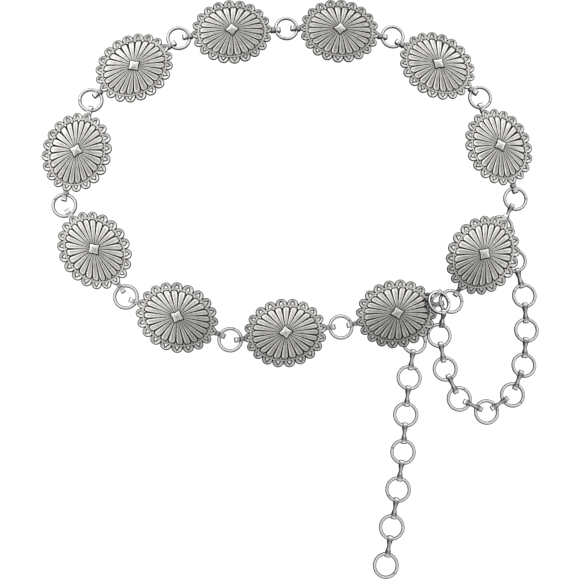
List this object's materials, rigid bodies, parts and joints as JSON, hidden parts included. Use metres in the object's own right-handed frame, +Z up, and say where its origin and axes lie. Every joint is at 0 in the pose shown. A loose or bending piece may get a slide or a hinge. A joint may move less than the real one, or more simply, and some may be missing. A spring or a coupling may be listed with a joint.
{
  "type": "chain belt",
  "caption": "Chain belt of domed oval conchos with scalloped edges, joined by round rings, with a hook end and a long chain of rings and straps, laid flat in a loop.",
  "frame": {"origin": "middle of the laid-out belt's footprint, at the height of the surface that it lies on", "axes": "+Z up from the surface through the conchos' domes; +Y towards the top of the loop; +X towards the hook end and the spare chain"},
  "size_m": [0.3028, 0.355, 0.01],
  "materials": {
    "antiqued_silver": "cast silver-tone metal, polished on the high places and darkened in the hollows"
  },
  "bodies": {
    "root": {"concho_01": "antiqued_silver", "concho_02": "antiqued_silver", "concho_03": "antiqued_silver", "concho_04": "antiqued_silver", "concho_05": "antiqued_silver", "concho_06": "antiqued_silver", "concho_07": "antiqued_silver", "concho_08": "antiqued_silver", "concho_09": "antiqued_silver", "concho_10": "antiqued_silver", "concho_11": "antiqued_silver", "belt_ring_01": "antiqued_silver", "belt_ring_02": "antiqued_silver", "belt_ring_03": "antiqued_silver", "belt_ring_04": "antiqued_silver", "belt_ring_05": "antiqued_silver", "belt_ring_06": "antiqued_silver", "belt_ring_07": "antiqued_silver", "belt_ring_08": "antiqued_silver", "belt_ring_09": "antiqued_silver", "belt_ring_10": "antiqued_silver", "swag_chain": "antiqued_silver", "tail_chain": "antiqued_silver", "clasp_hook": "antiqued_silver"}
  },
  "joints": []
}
